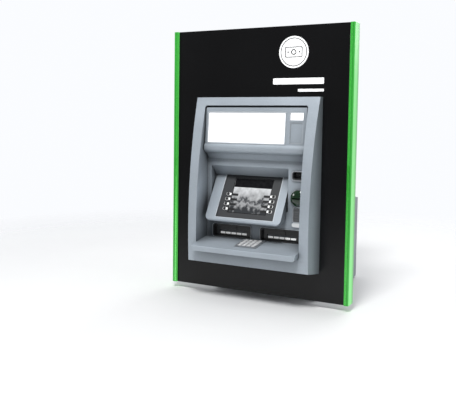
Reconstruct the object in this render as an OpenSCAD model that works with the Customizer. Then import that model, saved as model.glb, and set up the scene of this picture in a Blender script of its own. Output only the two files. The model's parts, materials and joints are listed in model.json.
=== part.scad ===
// Through-the-wall cash machine: a backlit black surround, a moulded fascia with a lit sign, a
// tilted screen and a shelf with a keypad, and behind them the cabinet, the safe and the modules.
// Millimetres. X runs right as the customer sees it, Y runs into the wall and Z runs up. The origin
// lies on the floor at the centre of the safe's four anchor holes.
// Pieces of the front are drawn about the middle of the surround's face sheet and put in place by
// at_front(): there Y = 0 is the front of the black sheet and Z = 0 its middle.

/* [Surround] */
// Width of the surround, edge strips included
surround_w = 1000; // [900:10:1300]
// Height of the surround
surround_h = 1350; // [1300:10:1700]
// Gap between the floor and the surround
surround_gap = 30; // [20:5:120]
// Thickness of the black face sheet
sheet_t = 6; // [3:1:10]
// Front width of one lit edge strip
strip_w = 23; // [16:1:40]
// How far a strip stands in front of the sheet
strip_proud = 11; // [4:1:20]
// Depth of a strip, front to back
strip_d = 68; // [50:1:90]
// Metal thickness of the tray behind the sheet
tray_t = 3; // [2:0.5:5]
// Radius of a wall anchor hole
anchor_r = 5.5; // [4:0.5:8]

/* [Fascia] */
// Width of the fascia where it meets the sheet
fascia_w = 690; // [640:2:840]
// Top of the fascia above the middle of the sheet
fascia_top = 326; // [300:2:400]
// Bottom of the fascia below the middle of the sheet
fascia_drop = 537; // [520:1:600]
// How far the fullest part of the fascia stands out
belly = 126; // [115:1:160]
// Depth of that fullest part below the middle of the sheet
belly_drop = 335; // [300:5:420]
// Radius of the fascia's front seen from the side
belly_r = 2300; // [1900:50:3000]
// Draft of each side, back to front
draft = 12; // [0:1:15]
// Front width of one upright
stile_w = 47; // [40:1:80]
// Height of the top rail
rail_h = 42; // [30:1:60]
// Wall thickness of the moulded parts
shell_t = 5; // [3:0.5:7]
// Gap between neighbouring mouldings
gap = 0.5; // [0.3:0.1:1]

/* [Lit sign] */
// Shadow gap around the hood
hood_gap = 6; // [3:1:10]
// How far the top of the hood's face stands in front of the sheet
hood_out_top = 38; // [34:1:42]
// How far the bottom of the hood's face stands in front of the sheet
hood_out_low = 54; // [44:1:70]
// How far the roll stands in front of the sheet
roll_out = 62; // [60:1:78]
// Bottom of the hood above the middle of the sheet
hood_z = 38; // [30:1:60]
// Radius of the roll along the hood's bottom
roll_r = 30; // [22:1:34]
// Width of the sign window
sign_w = 431; // [340:1:440]
// Height of the sign window
sign_h = 151; // [120:1:160]
// Width of the small window and of the pad below it
side_w = 67; // [50:1:72]
// Height of the small window
side_h = 35; // [25:1:45]

/* [Screen] */
// Width of the tilted screen bezel
bezel_w = 425; // [380:5:430]
// Height of the bezel's face along its slope
bezel_h = 272; // [250:1:276]
// Lean of the screen, back from upright
lean = 30; // [20:1:35]
// Width of the dark mask
mask_w = 323; // [300:1:350]
// Width of the visible screen
screen_w = 215; // [180:1:230]
// Height of the visible screen
screen_h = 193; // [150:1:200]
// Distance between menu keys
menu_pitch = 27.5; // [22:0.5:32]
// Radius of a menu key
menu_r = 5.5; // [4:0.5:7]
// Travel of a menu key
menu_travel = 2; // [1:0.5:3]

/* [Money and paper] */
// Width of a note mouth
mouth_w = 224; // [190:1:230]
// Height of a note mouth
mouth_h = 68; // [54:1:70]
// Width of the note gate
gate_w = 158; // [140:1:170]
// Height of the note gate
gate_h = 20; // [16:1:24]
// How far a shutter's plate overlaps its gate, all round
gate_lap = 4; // [3:1:5]
// Radius of the card bezel
card_r = 41; // [38:1:46]

/* [Shelf and keypad] */
// How far the shelf's edge stands in front of the sheet
shelf_out = 178; // [160:1:200]
// Depth of the shelf's back edge below the middle of the sheet
shelf_drop = 400; // [390:1:420]
// Slope of the shelf, down towards the customer
shelf_slope = 9.5; // [0:0.5:15]
// Height of the shelf's front lip
lip_h = 27; // [20:1:35]
// Distance between keypad keys, across
key_pitch_x = 25; // [22:0.5:27]
// Distance between keypad keys, front to back
key_pitch_y = 25; // [21:0.5:26]
// Gap between a keypad key and its hole
key_gap = 0.4; // [0.3:0.1:0.6]
// Travel of a keypad key
key_travel = 2.5; // [1:0.5:3]

/* [Safe] */
// Width of the safe
safe_w = 580; // [560:5:640]
// Depth of the safe without its door
safe_d = 620; // [600:5:760]
// Height of the safe
safe_h = 480; // [450:5:560]
// Thickness of the safe's walls
safe_t = 25; // [15:1:40]
// Distance from the face sheet to the safe
wall_gap = 110; // [90:5:200]
// Thickness of the safe door
safe_door_t = 35; // [25:1:50]
// Radius of a locking bolt
bolt_r = 10; // [8:1:14]
// Throw of the locking bolts
bolt_throw = 20; // [15:1:24]
// Radius of a floor anchor hole
floor_hole_r = 9; // [7:0.5:11]

/* [Cabinet] */
// Top of the cabinet above the floor
cabinet_top = 1150; // [1120:5:1300]
// Depth of the cabinet behind the face sheet
cabinet_d = 670; // [620:5:720]
// Sheet thickness of the cabinet
metal_t = 2; // [1.5:0.5:3]

/* [Hidden] */
$fn = 64;
ARC = 720;
FIT = 0.05;
front_y = -(safe_d / 2 + wall_gap);
// The fascia's height follows the safe, because the note gates open through the safe's front
gate_rise = 225;
safe_top = max(safe_h, surround_gap + surround_h / 2 - gate_rise);
mid_z = safe_top + gate_rise;
half_w = surround_w / 2 - strip_w;
tray_back = strip_d - strip_proud;
recess_w = fascia_w - 2 * draft - 2 * stile_w;
recess_top = fascia_top - rail_h;
tray_hole_w = fascia_w - 32;
tray_hole_top = fascia_top - 14;
tray_hole_drop = fascia_drop - 12;
anchor_x = surround_w / 2 - 100;
anchor_z = surround_h / 2 - 75;
bottom_draft = 0.144;
// The recess panel and the pieces set in it
panel_y = -10;
column_x = 235;
card_z = -172;
receipt_z = -61.5;
mouth_z = -shelf_drop + mouth_h / 2;
cash_x = -138;
deposit_x = 138;
gate_z = mouth_z - 10;
// The screen well and the bezel's frame: its origin is the top of the sloping face
well_x1 = -262;
well_x2 = well_x1 + bezel_w + 13;
well_top = -27;
well_floor = -245;
face_y = 38;
face_z = -80;
bezel_x1 = well_x1 + 6;
mask_x1 = bezel_x1 + 59;
mask_wide = min(mask_w, bezel_w - 102);
mask_set = 8;
mask_t = 4;
mask_top = 14;
mask_bottom = -237;
screen_wide = min(screen_w, mask_wide - 108);
screen_x = mask_x1 + mask_wide / 2 + 2.5;
screen_v = -107;
menu_x = mask_wide / 2 - 32.5;
menu_v = -103;
lcd_t = 14;
box_v = -155;
// The shelf
shelf_z0 = -shelf_drop;
lip_z = shelf_z0 - (shelf_out + panel_y) * tan(shelf_slope);
shelf_base = lip_z - lip_h;
pad_x = 0;
pad_y = -72;
pad_z = shelf_z0 - (panel_y - pad_y) * tan(shelf_slope);
pad_w = 4 * key_pitch_x + 8;
pad_d = 4 * key_pitch_y + 8;
pad_depth = 20;
key_w = key_pitch_x - 5;
key_d = key_pitch_y - 6;
// The hood
hood_w = recess_w - 2 * hood_gap;
roll_mid = hood_z + roll_r;
hood_top = recess_top - hood_gap - 4;
sign_x = -hood_w / 2 + 16 + sign_w / 2;
sign_z = hood_top - 27 - sign_h / 2;
side_x = hood_w / 2 - 18 - side_w / 2;
side_z = hood_top - 26 - side_h / 2;
pad_top = side_z - side_h / 2 - 12;
pad_bottom = sign_z - sign_h / 2 + 2;
// The safe and the cabinet
back_y = safe_d / 2;
hinge_x = -safe_w / 2 - 14;
hinge_y = back_y + 17;
safe_hinges = [90, safe_top - 90];
cabinet_w = safe_w;
cabinet_y1 = front_y + tray_back;
cabinet_y2 = front_y + cabinet_d;
cabinet_hinges = [safe_top + 90, cabinet_top - 90];
cabinet_hinge_y = cabinet_y2 + 12;
knuckle_h = 22;
knuckle_r = 8;
pin_r = 4;
handle_x = 130;
handle_z = safe_top / 2;
dial_x = -40;
bolt_x = safe_w / 2 - safe_t - 4;
bolt_y = back_y - 22;
bolt_zs = [safe_top / 2 - 140, safe_top / 2, safe_top / 2 + 140];
latch_x = cabinet_w / 2 - 40;
latch_z = (safe_top + cabinet_top) / 2;
roll_y = 125;
roll_z = 58;
paper_r = 42;
paper_w = 80;
spindle_r = 6;
transport_h = 40;
transport_w = 190;
transport_y = 18;
cassette_h = 138;
base_t = 12;
floor_x = 210;
floor_y = 220;

// ---- Helpers ---------------------------------------------------------------------------------

// From the front's own frame into the object's frame
module at_front() {
    translate([0, front_y, mid_z]) children();
}

// A (Y, Z) outline drawn out along X
module along_x(x1, x2) {
    translate([x1, 0, 0]) rotate([90, 0, 90]) linear_extrude(x2 - x1) children();
}

// An (X, Z) outline drawn out along Y
module along_y(y1, y2) {
    translate([0, y2, 0]) rotate([90, 0, 0]) linear_extrude(y2 - y1) children();
}

// A box between two corners
module block(a, b) {
    translate(a) cube(b - a);
}

// A flat rectangle with round corners about its centre
module round_rect(w, h, r) {
    square([w - 2 * r, h], center = true);
    square([w, h - 2 * r], center = true);
    for (x = [-1, 1], z = [-1, 1])
        translate([x * (w / 2 - r), z * (h / 2 - r)]) circle(r);
}

// The (Y, Z) area behind the fascia's curved front, moved back by inset
module behind_curve(inset) {
    translate([belly_r - belly, -belly_drop]) circle(belly_r - inset, $fn = ARC);
}

// From the screen's frame (X right, Y up the slope, Z out of it) into the front's frame
module on_screen() {
    translate([0, face_y, face_z]) rotate([90 - lean, 0, 0]) children();
}

// From the keypad's frame (X right, Y back, Z up out of the shelf) into the front's frame
module on_shelf() {
    translate([pad_x, pad_y, pad_z]) rotate([shelf_slope, 0, 0]) children();
}

// A bar along Y about (x, z)
module rod_y(x, z, r, y1, y2) {
    translate([x, y1, z]) rotate([-90, 0, 0]) cylinder(r = r, h = y2 - y1);
}

// A bar along X about (y, z)
module rod_x(y, z, r, x1, x2) {
    translate([x1, y, z]) rotate([0, 90, 0]) cylinder(r = r, h = x2 - x1);
}

// ---- Surround --------------------------------------------------------------------------------

module surround_panel() {
    color("#101112") at_front() along_y(0, sheet_t) difference() {
        square([2 * half_w, surround_h], center = true);
        translate([-tray_hole_w / 2, -tray_hole_drop])
            square([tray_hole_w, tray_hole_top + tray_hole_drop]);
    }
}

module edge_strips() {
    inner = strip_w - 2 * tray_t;
    color("#4fc04f") at_front() for (side = [-1, 1]) difference() {
        translate([side * (surround_w - strip_w) / 2, strip_d / 2 - strip_proud, 0])
            cube([strip_w, strip_d, surround_h], center = true);
        translate([side * (surround_w - strip_w) / 2, tray_t + strip_d / 2 - strip_proud, 0])
            cube([inner, strip_d, surround_h - 2 * tray_t], center = true);
    }
}

module tray_outline(grow) {
    difference() {
        square([2 * half_w - 8 - 2 * grow, surround_h - 20 - 2 * grow], center = true);
        translate([-tray_hole_w / 2 - grow, -tray_hole_drop - grow])
            square([tray_hole_w + 2 * grow, tray_hole_top + tray_hole_drop + 2 * grow]);
    }
}

module surround_frame() {
    color("#8b9096") at_front() difference() {
        along_y(sheet_t, tray_back) tray_outline(0);
        along_y(sheet_t - 1, tray_back - tray_t) tray_outline(tray_t);
        for (x = [-1, 1], z = [-1, 0, 1])
            rod_y(x * anchor_x, z * anchor_z, anchor_r, tray_back - tray_t - 1, tray_back + 1);
    }
}

// ---- Fascia ----------------------------------------------------------------------------------

// Side view of the fascia back to y = back, with every outer face moved in by inset
module fascia_side(inset, back) {
    reach = belly + 10;
    intersection() {
        behind_curve(inset);
        polygon([
            [back, fascia_top - inset],
            [-reach, fascia_top - inset],
            [-reach, -fascia_drop + reach * bottom_draft + inset],
            [back, -fascia_drop + inset]
        ]);
    }
}

// Plan view of the fascia, with its sides moved in by inset
module fascia_plan(inset) {
    back_w = fascia_w / 2 - inset;
    front_w = back_w - draft;
    linear_extrude(2 * surround_h, center = true)
        polygon([[-back_w, shell_t], [-back_w, 0], [-front_w, -belly], [-front_w, -2 * belly],
                 [front_w, -2 * belly], [front_w, -belly], [back_w, 0], [back_w, shell_t]]);
}

module recess_outline(grow) {
    translate([0, (recess_top + shelf_base) / 2])
        round_rect(recess_w + 2 * grow, recess_top - shelf_base + 2 * grow, 12 + grow);
}

module fascia_frame() {
    color("#bcc4cd") at_front() difference() {
        intersection() {
            along_x(-fascia_w / 2, fascia_w / 2) fascia_side(0, 0);
            fascia_plan(0);
        }
        difference() {
            intersection() {
                along_x(-fascia_w / 2, fascia_w / 2) fascia_side(shell_t, 1);
                fascia_plan(shell_t);
            }
            along_y(-2 * belly, 10) recess_outline(shell_t);
        }
        along_y(-2 * belly, panel_y + shell_t) recess_outline(0);
        along_y(-2 * belly, 10) recess_outline(-12);
    }
}

// ---- Header ----------------------------------------------------------------------------------

// Depth of the hood's sloping face at height z, moved back by inset
function hood_y(z, inset) =
    inset - hood_out_low + (hood_out_low - hood_out_top) * (z - roll_mid) / (hood_top - roll_mid);

// A (Y, Z) strip behind the hood's face, between two insets and two heights
module hood_strip(inset_1, inset_2, z1, z2) {
    polygon([[hood_y(z1, inset_1), z1], [hood_y(z2, inset_1), z2],
             [hood_y(z2, inset_2), z2], [hood_y(z1, inset_2), z1]]);
}

// Side view of the hood: a sloping face, with an underside that drops to the recess
module hood_side() {
    polygon([[hood_y(roll_mid + 5, 0), roll_mid + 5], [hood_y(hood_top, 0), hood_top],
             [panel_y, hood_top], [panel_y, hood_z - 28], [-roll_out + roll_r, hood_z]]);
}

module header_hood() {
    wall = 8;
    pad_depth_y = 3;
    color("#c4ccd5") at_front() difference() {
        union() {
            along_x(-hood_w / 2, hood_w / 2) hood_side();
            intersection() {
                rod_x(-roll_out + roll_r, roll_mid, roll_r, -hood_w / 2, hood_w / 2);
                block([-hood_w, -roll_out - 1, 0], [hood_w, -roll_out + roll_r + 8, hood_top]);
            }
        }
        along_x(-hood_w / 2 + shell_t, hood_w / 2 - shell_t)
            polygon([[hood_y(pad_bottom - 8, wall), pad_bottom - 8],
                     [hood_y(hood_top - shell_t, wall), hood_top - shell_t],
                     [panel_y + 1, hood_top - shell_t], [panel_y + 1, pad_bottom - 8]]);
        along_x(sign_x - sign_w / 2, sign_x + sign_w / 2)
            hood_strip(-5, wall + 2, sign_z - sign_h / 2, sign_z + sign_h / 2);
        along_x(side_x - side_w / 2, side_x + side_w / 2)
            hood_strip(-5, wall + 2, side_z - side_h / 2, side_z + side_h / 2);
        along_x(side_x - side_w / 2, side_x + side_w / 2)
            hood_strip(-5, pad_depth_y, pad_bottom, pad_top);
    }
}

module sign_windows() {
    color("white") at_front() {
        along_x(sign_x - sign_w / 2, sign_x + sign_w / 2)
            hood_strip(2, 6, sign_z - sign_h / 2, sign_z + sign_h / 2);
        along_x(side_x - side_w / 2, side_x + side_w / 2)
            hood_strip(2, 6, side_z - side_h / 2, side_z + side_h / 2);
    }
}

module sign_lamps() {
    color("#e8ecd8") at_front() for (z = [sign_z - sign_h / 4, sign_z + sign_h / 4]) {
        block([sign_x - sign_w / 2 + 10, panel_y - 2, z - 8], [side_x + side_w / 2, panel_y, z + 8]);
        for (i = [0 : 14])
            translate([sign_x - sign_w / 2 + 30 + i * 32, panel_y - 3, z]) cube([6, 3, 5], center = true);
    }
}

// ---- Recess and screen -----------------------------------------------------------------------

// Side view of the space in front of the sloping screen
module well_side(grow) {
    depth = 48;
    polygon([
        [panel_y - 1, well_top + grow + 1],
        [panel_y + depth + 8, well_top - depth - 8 + grow],
        [panel_y + depth + 8, well_floor - grow],
        [panel_y - 1, well_floor - grow]
    ]);
}

module recess_panel() {
    well_wall = 4;
    color("#aab2bb") at_front() difference() {
        union() {
            along_y(panel_y, panel_y + shell_t) difference() {
                translate([0, (recess_top + shelf_base) / 2])
                    round_rect(recess_w - 2 * gap, recess_top - shelf_base - 2 * gap, 12);
                translate([column_x, receipt_z]) round_rect(77, 45, 14.5);
            }
            along_x(well_x1 - well_wall, well_x2 + well_wall) intersection() {
                well_side(well_wall);
                translate([panel_y, well_floor - 20]) square([50, 300]);
            }
        }
        along_x(well_x1, well_x2) well_side(0);
        rod_y(column_x, card_z, card_r - 4 + gap, panel_y - 1, 0);
        for (x = [cash_x, deposit_x])
            block([x - mouth_w / 2 + 4, panel_y - 1, mouth_z - mouth_h / 2 + 4],
                  [x + mouth_w / 2 - 4, 0, mouth_z + mouth_h / 2 - 4]);
    }
}

// Side view of the bezel: a sloping face with a rounded nose and an underside that rises to the wall
module bezel_side() {
    up = [sin(lean), cos(lean)];
    out = [-cos(lean), sin(lean)];
    top = [face_y, face_z] + mask_top * up;
    nose = [face_y, face_z] - (bezel_h - mask_top - 9) * up - 9 * out;
    polygon([top, nose + 9 * out, nose, [nose[0], nose[1] - 9], [panel_y - 25, well_floor - 42],
             [panel_y, well_floor], [panel_y + 45, well_floor], top - 30 * out]);
    translate(nose) circle(9);
}

module bezel_face(w, v1, v2, r) {
    translate([0, (v1 + v2) / 2]) round_rect(w, v2 - v1, r);
}

module screen_bezel() {
    color("#c9d0d8") at_front() difference() {
        intersection() {
            along_x(bezel_x1, bezel_x1 + bezel_w) bezel_side();
            on_screen() translate([bezel_x1 + bezel_w / 2, 0, -150])
                linear_extrude(200) bezel_face(bezel_w, mask_top - bezel_h, mask_top + 60, 28);
        }
        on_screen() {
            translate([mask_x1, mask_bottom, -mask_set - mask_t]) cube([mask_wide, 300, 60]);
            translate([mask_x1 + 8, mask_bottom + 15, -mask_set - mask_t - lcd_t - 2])
                cube([mask_wide - 16, 300, 60]);
            translate([mask_x1 + 8, box_v - 8, -150]) cube([mask_wide - 16, 300, 200]);
        }
    }
}

module menu_holes(r, z1, z2) {
    for (side = [-1, 1], i = [0 : 3])
        translate([screen_x + side * menu_x, menu_v - i * menu_pitch, z1]) cylinder(r = r, h = z2 - z1);
}

module screen_mask() {
    color("#45474a") at_front() on_screen() difference() {
        translate([mask_x1, mask_bottom, -mask_set - mask_t])
            cube([mask_wide, mask_top - mask_bottom, mask_t]);
        translate([screen_x - screen_wide / 2, screen_v - screen_h / 2, -50]) cube([screen_wide, screen_h, 60]);
        menu_holes(menu_r + 0.5, -50, 10);
    }
}

// The display: a flat panel with a deeper box of electronics behind its upper part
module display_module() {
    glass_z = -mask_set - mask_t;
    wide = screen_wide + 16;
    low = screen_v - screen_h / 2 - 6;
    high = screen_v + screen_h / 2 + 6;
    color("#2b2d30") at_front() on_screen() {
        difference() {
            translate([screen_x - wide / 2, low, glass_z - lcd_t]) cube([wide, high - low, lcd_t]);
            translate([screen_x - screen_wide / 2, screen_v - screen_h / 2, glass_z - 2])
                cube([screen_wide, screen_h, 10]);
        }
        translate([screen_x - wide / 2, box_v, glass_z - 38]) cube([wide, high - box_v, 39 - lcd_t]);
        for (x = [-1, 1], v = [box_v + 12, high - 20])
            translate([screen_x + x * (wide / 2 - 20), v, glass_z - 46]) cylinder(r = 6, h = 10);
        for (side = [-1, 1]) {
            edge = screen_x + side * (menu_x + 8);
            translate([edge - 7, menu_v - 3 * menu_pitch - 14, glass_z - lcd_t])
                cube([14, 3 * menu_pitch + 28, 4]);
            inner = screen_x + side * (wide / 2 - 1);
            outer = edge - side * 6;
            translate([min(inner, outer), menu_v - 44, glass_z - lcd_t]) cube([abs(outer - inner), 30, 4]);
        }
    }
}

module menu_key(side, i) {
    cap_z = -mask_set + menu_travel + 1;
    color("#191a1c") at_front() on_screen()
        translate([screen_x + side * menu_x, menu_v - i * menu_pitch, 0]) {
            translate([0, 0, -mask_set - mask_t - 1]) cylinder(r = menu_r, h = cap_z + mask_set + mask_t + 1);
            translate([0, 0, -mask_set - mask_t - 2]) cylinder(r = menu_r + 2, h = 1.7);
        }
}

// ---- Column on the right ---------------------------------------------------------------------

module receipt_mouth() {
    color("#3a3c3e") at_front() difference() {
        union() {
            along_y(panel_y - 3, panel_y) translate([column_x, receipt_z]) round_rect(84, 52, 18);
            along_y(panel_y - 1, 20) translate([column_x, receipt_z]) round_rect(76, 44, 14);
        }
        along_y(panel_y - 4, 14) translate([column_x, receipt_z]) round_rect(68, 36, 11);
        along_y(10, 21) translate([column_x, receipt_z - 6]) square([60, 6], center = true);
    }
}

module card_bezel() {
    color("#1d6b2c") at_front() difference() {
        translate([column_x, panel_y, card_z]) rotate([90, 0, 0]) rotate_extrude() {
            square([card_r + 4, 3]);
            translate([0, -10]) square([card_r - 4, 11]);
            intersection() {
                square([card_r, 26]);
                translate([0, 26 - 1.6 * card_r]) circle(1.6 * card_r);
            }
        }
        block([column_x - 30, panel_y - 40, card_z - 3], [column_x + 30, 5, card_z + 3]);
    }
}

module card_guide() {
    top = card_z - card_r - 4.5;
    color("#6d7176") at_front() {
        block([column_x - 32, panel_y - 3, top - 75], [column_x + 32, panel_y, top]);
        for (i = [0 : 4])
            block([column_x - 26, panel_y - 4.5, top - 14 - i * 13], [column_x + 26, panel_y - 2, top - 10 - i * 13]);
    }
}

// ---- Note mouths -----------------------------------------------------------------------------

// A (X, Z) outline with square feet and round shoulders, about its centre
module arch(w, h, r) {
    translate([-w / 2, -h / 2]) square([w, h - r]);
    translate([-w / 2 + r, -h / 2]) square([w - 2 * r, h]);
    for (x = [-1, 1])
        translate([x * (w / 2 - r), h / 2 - r]) circle(r);
}

module note_mouth(x) {
    throat_w = mouth_w - 10;
    throat_h = mouth_h - 8;
    difference() {
        union() {
            along_y(panel_y - 2, panel_y) translate([x, mouth_z]) arch(mouth_w, mouth_h, 15);
            along_y(panel_y - 1, 12) translate([x, mouth_z])
                square([mouth_w - 8 - 2 * gap, mouth_h - 8 - 2 * gap], center = true);
        }
        along_y(panel_y - 3, 6) translate([x, mouth_z]) arch(throat_w - 4, throat_h - 6, 10);
        along_y(panel_y - 3, 13) translate([x, gate_z]) square([gate_w, gate_h], center = true);
    }
}

// A flat shutter with shallow grooves across its front
module note_shutter(x) {
    plate_w = gate_w + 2 * gate_lap + 4;
    plate_h = gate_h + 2 * gate_lap;
    front = 12.5;
    difference() {
        block([x - plate_w / 2, front, gate_z - plate_h / 2], [x + plate_w / 2, front + 3, gate_z + plate_h / 2]);
        for (i = [-2 : 3])
            block([x + (i - 0.5) * gate_w / 5 - 1.5, front - 1, gate_z - 7],
                  [x + (i - 0.5) * gate_w / 5 + 1.5, front + 1, gate_z + 7]);
        block([x - 22, front - 1, gate_z + 1], [x + 22, front + 1, gate_z + gate_h / 2]);
    }
}

module cash_mouth() {
    color("#1c1d1f") at_front() note_mouth(cash_x);
}

module deposit_mouth() {
    color("#1c1d1f") at_front() note_mouth(deposit_x);
}

module cash_shutter() {
    color("#cfd2d5") at_front() note_shutter(cash_x);
}

module deposit_shutter() {
    color("#cfd2d5") at_front() note_shutter(deposit_x);
}

// ---- Shelf and keypad ------------------------------------------------------------------------

module shelf() {
    nose_r = 6;
    side_w1 = recess_w / 2 - gap;
    foot = shelf_base + FIT;
    color("#aeb6bf") at_front() difference() {
        intersection() {
            along_x(-side_w1, side_w1) {
                polygon([
                    [panel_y, shelf_z0],
                    [-shelf_out + nose_r, lip_z + nose_r * tan(shelf_slope)],
                    [-shelf_out + nose_r, foot],
                    [panel_y, foot]
                ]);
                translate([-shelf_out + nose_r, lip_z - nose_r]) circle(nose_r);
                translate([-shelf_out, foot]) square([nose_r + 1, lip_h - nose_r - FIT]);
            }
            translate([0, 0, shelf_base - 1]) linear_extrude(lip_h + 80) {
                translate([0, (-shelf_out + panel_y) / 2])
                    round_rect(2 * side_w1, shelf_out + panel_y, 10);
                translate([0, panel_y - 20]) square([2 * side_w1, 40], center = true);
            }
            along_y(-shelf_out - 1, panel_y + 1)
                translate([0, foot + 100]) round_rect(2 * side_w1, 200, 14);
        }
        on_shelf() translate([-pad_w / 2, -pad_d / 2, -pad_depth]) cube([pad_w, pad_d, 2 * pad_depth]);
    }
}

module keypad_plate() {
    color("#9aa1a8") at_front() on_shelf() difference() {
        union() {
            translate([0, 0, 1]) cube([pad_w + 6, pad_d + 6, 2], center = true);
            translate([0, 0, -8]) cube([pad_w - 1, pad_d - 1, 17], center = true);
        }
        for (col = [0 : 3], row = [0 : 3])
            translate([(col - 1.5) * key_pitch_x, (1.5 - row) * key_pitch_y, 0])
                cube([key_w + 2 * key_gap, key_d + 2 * key_gap, 22], center = true);
        translate([0, 0, -12]) cube([pad_w - 8, pad_d - 8, 14], center = true);
    }
}

module key(row, col) {
    color("#e9ebec") at_front() on_shelf()
        translate([(col - 1.5) * key_pitch_x, (1.5 - row) * key_pitch_y, 0]) {
            translate([0, 0, -5.5]) linear_extrude(7.5 + key_travel + 0.5) square([key_w, key_d], center = true);
            translate([0, 0, -7.2]) linear_extrude(2) square([key_w + 2, key_d + 2], center = true);
        }
}

// ---- Safe ------------------------------------------------------------------------------------

// Fixed half of a hinge: two knuckles on leaves that lie along the left wall
module hinge_leaves(y, z) {
    for (end = [-1, 1]) {
        low = z + end * knuckle_h - knuckle_h / 2 + 0.15;
        tall = knuckle_h - 0.3;
        translate([hinge_x, y, low]) cylinder(r = knuckle_r, h = tall);
        translate([-safe_w / 2 - 6, y - 48, low]) cube([6, 48 - knuckle_r, tall]);
        translate([hinge_x, y - knuckle_r - 6, low]) cube([-safe_w / 2 - hinge_x, knuckle_r + 6, tall]);
    }
}

// Moving half of a hinge: one knuckle between the fixed two
module door_knuckle(y, z) {
    tall = knuckle_h - 0.3;
    translate([hinge_x, y, z - tall / 2]) cylinder(r = knuckle_r, h = tall);
    translate([hinge_x, y - 5, z - tall / 2]) cube([5 - safe_w / 2 - hinge_x, 10, tall]);
}

module hinge_bore(y, z) {
    translate([hinge_x, y, z - 2 * knuckle_h]) cylinder(r = pin_r + FIT, h = 4 * knuckle_h);
}

module safe_body() {
    color("#c9ccd0") difference() {
        union() {
            difference() {
                block([-safe_w / 2, -safe_d / 2, 0], [safe_w / 2, safe_d / 2, safe_top]);
                block([-safe_w / 2 + safe_t, -safe_d / 2 + safe_t, base_t],
                      [safe_w / 2 - safe_t, safe_d / 2 + 1, safe_top - safe_t]);
            }
            for (z = safe_hinges) hinge_leaves(hinge_y, z);
        }
        for (z = safe_hinges) hinge_bore(hinge_y, z);
        for (x = [-1, 1], y = [-1, 1])
            translate([x * floor_x, y * floor_y, -1]) cylinder(r = floor_hole_r, h = base_t + 2);
        for (z = bolt_zs)
            rod_x(bolt_y, z, bolt_r + gap, safe_w / 2 - safe_t - 1, bolt_x + bolt_throw + 6);
        at_front() for (x = [cash_x, deposit_x])
            block([x - transport_w / 2 - 3, wall_gap - 1, gate_z - transport_h / 2 - 3],
                  [x + transport_w / 2 + 3, wall_gap + safe_t + 1, gate_z + transport_h / 2 + 3]);
    }
}

module safe_door() {
    door_y = back_y + gap;
    color("#c1c5ca") difference() {
        union() {
            block([-safe_w / 2 + 2, door_y, 6], [safe_w / 2 - 2, door_y + safe_door_t, safe_top - 6]);
            for (z = bolt_zs)
                block([bolt_x - 36, bolt_y - 16, z - 22], [bolt_x - 11, door_y + 1, z + 22]);
            for (z = safe_hinges) door_knuckle(hinge_y, z);
        }
        for (z = bolt_zs) rod_x(bolt_y, z, bolt_r + gap, bolt_x - 50, bolt_x);
        for (z = safe_hinges) hinge_bore(hinge_y, z);
        rod_y(handle_x, handle_z, 8 + FIT, back_y - 5, door_y + safe_door_t + 5);
        rod_y(dial_x, handle_z, 5 + FIT, back_y - 5, door_y + safe_door_t + 5);
    }
}

module safe_handle() {
    face = back_y + gap + safe_door_t + gap;
    color("#b9bcc0") {
        rod_y(handle_x, handle_z, 8, back_y - 44, face + 5);
        rod_y(handle_x, handle_z, 28, back_y - 44, back_y - 36);
        rod_y(handle_x, handle_z, 19, face, face + 30);
        for (turn = [90, 210, 330]) translate([handle_x, face + 17, handle_z]) rotate([0, turn, 0]) {
            rotate([0, 90, 0]) cylinder(r = 6, h = 74);
            translate([78, 0, 0]) sphere(10);
        }
    }
}

module safe_dial() {
    face = back_y + gap + safe_door_t + gap;
    color("#2c2e31") {
        rod_y(dial_x, handle_z, 5, back_y - 8, face + 5);
        difference() {
            rod_y(dial_x, handle_z, 36, face, face + 12);
            for (i = [0 : 19]) translate([dial_x, face + 12, handle_z]) rotate([0, i * 18, 0])
                translate([33, 0, 0]) cube([8, 3, 1.5], center = true);
        }
        rod_y(dial_x, handle_z, 17, face + 11, face + 32);
    }
}

module safe_bolts() {
    color("#d7d9db") {
        for (z = bolt_zs) rod_x(bolt_y, z, bolt_r, bolt_x - 80, bolt_x);
        block([bolt_x - 86, bolt_y - 6, bolt_zs[0] - 16], [bolt_x - 66, bolt_y + 6, bolt_zs[2] + 16]);
    }
}

module hinge_pin(y, z) {
    translate([hinge_x, y, z - 1.5 * knuckle_h]) cylinder(r = pin_r, h = 3 * knuckle_h + 1);
    translate([hinge_x, y, z + 1.5 * knuckle_h - 0.15]) cylinder(r = pin_r + 2.5, h = 3);
}

module hinge_pins() {
    color("#e0e2e4") {
        for (z = safe_hinges) hinge_pin(hinge_y, z);
        for (z = cabinet_hinges) hinge_pin(cabinet_hinge_y, z);
    }
}

// ---- Cabinet ---------------------------------------------------------------------------------

module cabinet() {
    lip = 20;
    color("#d3d6da") difference() {
        union() {
            difference() {
                block([-cabinet_w / 2, cabinet_y1, safe_top], [cabinet_w / 2, cabinet_y2, cabinet_top]);
                block([-cabinet_w / 2 + metal_t, cabinet_y1 - 1, safe_top + metal_t],
                      [cabinet_w / 2 - metal_t, cabinet_y2 - metal_t, cabinet_top - metal_t]);
                block([-cabinet_w / 2 + lip, cabinet_y1, safe_top + lip],
                      [cabinet_w / 2 - lip, cabinet_y2 + 1, cabinet_top - lip]);
            }
            for (side = [-1, 1]) translate([side * (cabinet_w / 2 + 32), cabinet_y1 + 1.5, (safe_top + cabinet_top) / 2])
                cube([66, 3, cabinet_top - safe_top], center = true);
            for (z = cabinet_hinges) hinge_leaves(cabinet_hinge_y, z);
        }
        for (z = cabinet_hinges) hinge_bore(cabinet_hinge_y, z);
    }
}

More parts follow.
